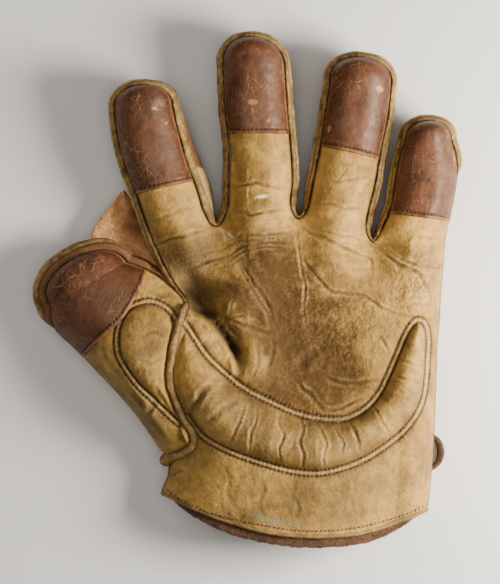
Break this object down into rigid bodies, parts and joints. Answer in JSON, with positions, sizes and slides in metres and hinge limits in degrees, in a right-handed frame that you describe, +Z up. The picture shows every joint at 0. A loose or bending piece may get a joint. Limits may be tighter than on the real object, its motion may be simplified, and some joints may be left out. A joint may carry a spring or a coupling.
{
  "type": "baseball fielder's glove",
  "caption": "Early short-webbed leather ball glove for the left hand, with capped fingertips, a padded crescent heel and a wrist strap.",
  "frame": {"origin": "under the middle of the bounding box, on the surface that the back of the hand lies on", "axes": "+X from the thumb to the little finger, +Y from the wrist to the fingertips, +Z up out of the palm"},
  "size_m": [0.1993, 0.2377, 0.0447],
  "materials": {
    "palm_leather": "worn olive tan horsehide, waxed by handling",
    "cap_leather": "dark brown leather with a crazed glaze",
    "welt_leather": "dark olive rolled edge leather",
    "web_leather": "rubbed russet suede side",
    "felt": "matted brown wool felt",
    "strap_leather": "brown strap leather, worn pale on its edges"
  },
  "bodies": {
    "root": {"palm_front": "palm_leather", "back_panel": "palm_leather", "thumb_front": "palm_leather", "thumb_back": "palm_leather", "gusset_index_middle": "palm_leather", "gusset_middle_ring": "palm_leather", "gusset_ring_little": "palm_leather", "index_side_strip": "palm_leather", "little_tip_strip": "palm_leather", "thumb_side_strip": "palm_leather", "cap_index": "cap_leather", "back_cap_index": "cap_leather", "cap_middle": "cap_leather", "back_cap_middle": "cap_leather", "cap_ring": "cap_leather", "back_cap_ring": "cap_leather", "cap_little": "cap_leather", "back_cap_little": "cap_leather", "thumb_cap": "cap_leather", "heel_pad": "palm_leather", "thumb_pad": "palm_leather", "thumb_welt": "welt_leather", "web": "web_leather", "cuff_piping": "welt_leather", "felt_lip": "felt", "wrist_strap": "strap_leather"}
  },
  "joints": []
}
